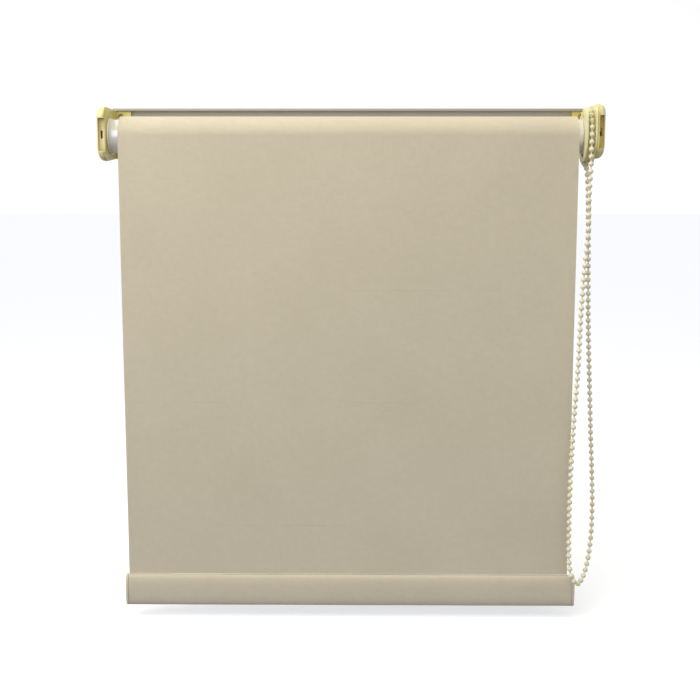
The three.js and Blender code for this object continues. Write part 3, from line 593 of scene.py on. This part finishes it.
def arc_line(radius_at, start, end, steps):
    """Points (y, z) and their distances along an arc about the roller axis, from angle start to end."""
    angles = np.linspace(start, end, steps)
    line = [(AXIS_Y + radius_at(a) * math.cos(a), AXIS_Z + radius_at(a) * math.sin(a)) for a in angles]
    return line, distances_along(line)


def outer_turn():
    """The last turn of cloth, from where it leaves the roll in front, over the top and down the back."""
    end = -0.9  # radians from level at the back
    sink = 0.0003  # how much nearer the axis the turn is at its far end

    def radius_at(angle):
        back = (math.pi - angle) / (math.pi - end)
        return ARM - sink * back

    line, along = arc_line(radius_at, math.pi, end, 72)
    piece = cloth_piece("outer_turn", line, along, 49)
    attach(piece, "mount")


def wound_fabric():
    """The turns of cloth under the last one, as one spiral, seen edge-on at both ends of the roll."""
    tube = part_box("roller_tube")
    tape_room = 0.0003
    turn_gap = 0.0001
    inner = (tube[1][2] - tube[0][2]) / 2 + tape_room
    outer = ARM - CLOTH - turn_gap
    turns = 4
    start = math.pi / 2
    end = start - 2 * math.pi * turns

    def radius_at(angle):
        return outer + (inner - outer) * (start - angle) / (start - end)

    line, along = arc_line(radius_at, start, end, 48 * turns)
    piece = cloth_piece("wound_cloth", line, along, 9)
    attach(piece, "roller")
    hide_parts("wound_fabric")


hanging_fabric()
outer_turn()
wound_fabric()


# ---- Bottom bar ----
def hem_line(inset):
    """Points (y, z) round the bar's lens-shaped section, pulled in by inset."""
    steps = 72
    fullness = 0.7  # below 1 is squarer than an ellipse
    middle_y = (HEM[0][1] + HEM[1][1]) / 2
    middle_z = (HEM[0][2] + HEM[1][2]) / 2
    half_y = (HEM[1][1] - HEM[0][1]) / 2 - inset
    half_z = (HEM[1][2] - HEM[0][2]) / 2 - inset
    out = []
    for i in range(steps):
        turn = math.pi / 2 + 2 * math.pi * (i + 0.5) / steps
        c, s = math.cos(turn), math.sin(turn)
        out.append((
            middle_y + half_y * math.copysign(abs(c) ** fullness, c),
            middle_z + half_z * math.copysign(abs(s) ** fullness, s),
        ))
    return out


def hem_fabric():
    """The cloth sleeve round the bar, open along the top where it is turned into the groove."""
    line = hem_line(CLOTH / 2)
    along = distances_along(line)
    columns = 121
    xs = np.linspace(HEM[0][0], HEM[1][0], columns)
    vertices, uvs = [], []
    for (y, z), v in zip(line, along):
        for x in xs:
            pull = 0.00008 * math.sin(55 * x + 40 * v) + 0.00005 * math.sin(130 * x)
            vertices.append((x, y - pull, z))
            uvs.append((x, v))
    piece = new_piece("hem_cloth", vertices, grid(len(line), columns), CLOTH_LOOK, uvs)
    thicken(piece)
    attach(piece, "hem")
    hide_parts("hem_fabric")


hem_fabric()

# ---- Hard pieces: the CAD shapes with rounded edges ----
LOOKS = {
    "mounting_rail": (RAIL, "aluminium", 0.0002),
    "left_bracket": (BRACKETS, "cream_plastic", 0.0003),
    # The covers and sockets carry painted shade in their recesses.
    "left_bracket_cover": (CREAM_WITH_PAINTED_RECESS_SHADE, "cream_plastic", 0.0003),
    "left_pin_socket": (CREAM_WITH_PAINTED_RECESS_SHADE, "cream_plastic", 0.0003),
    "right_bracket": (BRACKETS, "cream_plastic", 0.0003),
    "right_bracket_cover": (CREAM_WITH_PAINTED_RECESS_SHADE, "cream_plastic", 0.0003),
    "right_shaft_socket": (CREAM_WITH_PAINTED_RECESS_SHADE, "cream_plastic", 0.0003),
    "roller_tube": (TUBE, "aluminium", 0.0001),
    "fixing_tape": (TAPE, "tape", 0),
    "idle_plug": (FLANGE, "cream_plastic", 0.0003),
    "idle_pin": (STEEL, "steel", 0.00015),
    "idle_spring": (STEEL, "steel", 0),
    "clutch_shaft": (INNER, "inner_plastic", 0.0002),
    "clutch_retaining_clip": (STEEL, "steel", 0.0001),
    "wrap_spring_1": (STEEL, "steel", 0),
    "wrap_spring_2": (STEEL, "steel", 0),
    "inner_chain_guard": (GUARDS, "cream_plastic", 0.0003),
    "chain_wheel": (WHEEL, "cream_plastic", 0.0002),
    "outer_chain_guard": (GUARDS, "cream_plastic", 0.0003),
    "drive_hub": (INNER, "inner_plastic", 0.0002),
    "bottom_bar": (RAIL, "aluminium", 0.0001),
    "hem_spline": (INNER, "inner_plastic", 0.0001),
    "left_bar_cap": (CAPS, "cap_plastic", 0.0006),
    "right_bar_cap": (CAPS, "cap_plastic", 0.0006),
}


# Each cover reaches on towards its bracket's plate, which closes most of the clearance between them.
SEAM = 0.00028
SEAMS = {
    "left_bracket_cover": (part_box("left_pin_socket")[1][0], SEAM),
    "right_bracket_cover": (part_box("right_shaft_socket")[0][0], -SEAM),
}


def squash_spring(spring):
    """Gives the idle pin's spring a mesh of its own; nothing here shortens it as the pin slides in."""
    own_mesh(spring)


def hard_pieces():
    body_of = {
        node: body
        for body, members in frame["record"]["behaviour"]["bodies"].items()
        for node in members
    }
    for node, (material, slot, bevel) in LOOKS.items():
        piece = refined(node, material, bevel, seam=SEAMS.get(node))
        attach(piece, body_of[node])
        if node == "idle_spring":
            squash_spring(piece)


hard_pieces()


# ---- Floor and light ----
def floor():
    """A wide white floor that glows a little. It throws no light up at the blind and isn't mirrored in it."""
    m = Nodes("floor")
    m.set(Base_Color=rgb(0.93, 0.95, 1.0), Roughness=0.9)
    m.set(Emission_Color=rgb(1, 1, 1), Emission_Strength=0.15)
    reach = 60
    drop = 0.012  # below the blind's lowest point
    z = cad_box[0][2] - drop
    corners = [(-reach, -reach, z), (reach, -reach, z), (reach, reach, z), (-reach, reach, z)]
    piece = new_piece("floor", corners, [(0, 1, 2, 3)], m.material)
    piece.visible_diffuse = False
    piece.visible_glossy = False


def area_light(name, place, target, width, height, power, color):
    """A soft light that isn't mirrored, so that it doesn't show as a bright patch in the tube."""
    data = bpy.data.lights.new(name, "AREA")
    data.shape = "RECTANGLE"
    data.size, data.size_y = width, height
    data.energy = power
    data.color = color
    light = bpy.data.objects.new(name, data)
    light.location = place
    light.visible_glossy = False
    light.rotation_euler = (Vector(target) - Vector(place)).to_track_quat("-Z", "Y").to_euler()
    bpy.context.scene.collection.objects.link(light)


def world_light(above, below, right):
    """White from the horizon up, fading to grey below it, and dimmed to the share right at upper right."""
    world = bpy.data.worlds.new("studio")
    bpy.context.scene.world = world
    world.use_nodes = True
    tree = world.node_tree
    background = tree.nodes["Background"]
    background.inputs["Color"].default_value = (1, 1, 1, 1)
    place = tree.nodes.new("ShaderNodeTexCoord")
    split = tree.nodes.new("ShaderNodeSeparateXYZ")
    tree.links.new(place.outputs["Generated"], split.inputs[0])

    def spread(axis, span, shares):
        node = tree.nodes.new("ShaderNodeMapRange")
        tree.links.new(split.outputs[axis], node.inputs["Value"])
        for name, value in zip(("From Min", "From Max", "To Min", "To Max"), (*span, *shares)):
            node.inputs[name].default_value = value
        return node.outputs["Result"]

    def maths(operation, first, second):
        node = tree.nodes.new("ShaderNodeMath")
        node.operation = operation
        for socket, value in zip(node.inputs, (first, second)):
            if isinstance(value, float):
                socket.default_value = value
            else:
                tree.links.new(value, socket)
        return node.outputs[0]

    level = spread("Z", (-0.14, -0.02), (below, above))
    rightward = spread("X", (0.2, 0.7), (0.0, 1.0 - right))
    upward = spread("Z", (0.12, 0.3), (0.0, 1.0))
    kept = maths("SUBTRACT", 1.0, maths("MULTIPLY", rightward, upward))
    tree.links.new(maths("MULTIPLY", level, kept), background.inputs["Strength"])


floor()
world_light(1.03, 0.3, 0.2)
area_light("overhead", (-0.1, -0.35, 1.0), (0, -0.05, -0.1), 1.2, 0.7, 5.8, (1.0, 0.88, 0.46))
area_light("front_top", (-0.3, -0.45, 0.24), (-0.05, -0.05, -0.03), 1.0, 0.2, 1.15, (1.0, 0.95, 0.80))
area_light("left_fill", (-0.7, -0.6, 0.35), (0, 0, -0.2), 0.6, 0.6, 2.2, (1.0, 0.98, 0.95))
bpy.context.scene.view_settings.view_transform = "Standard"
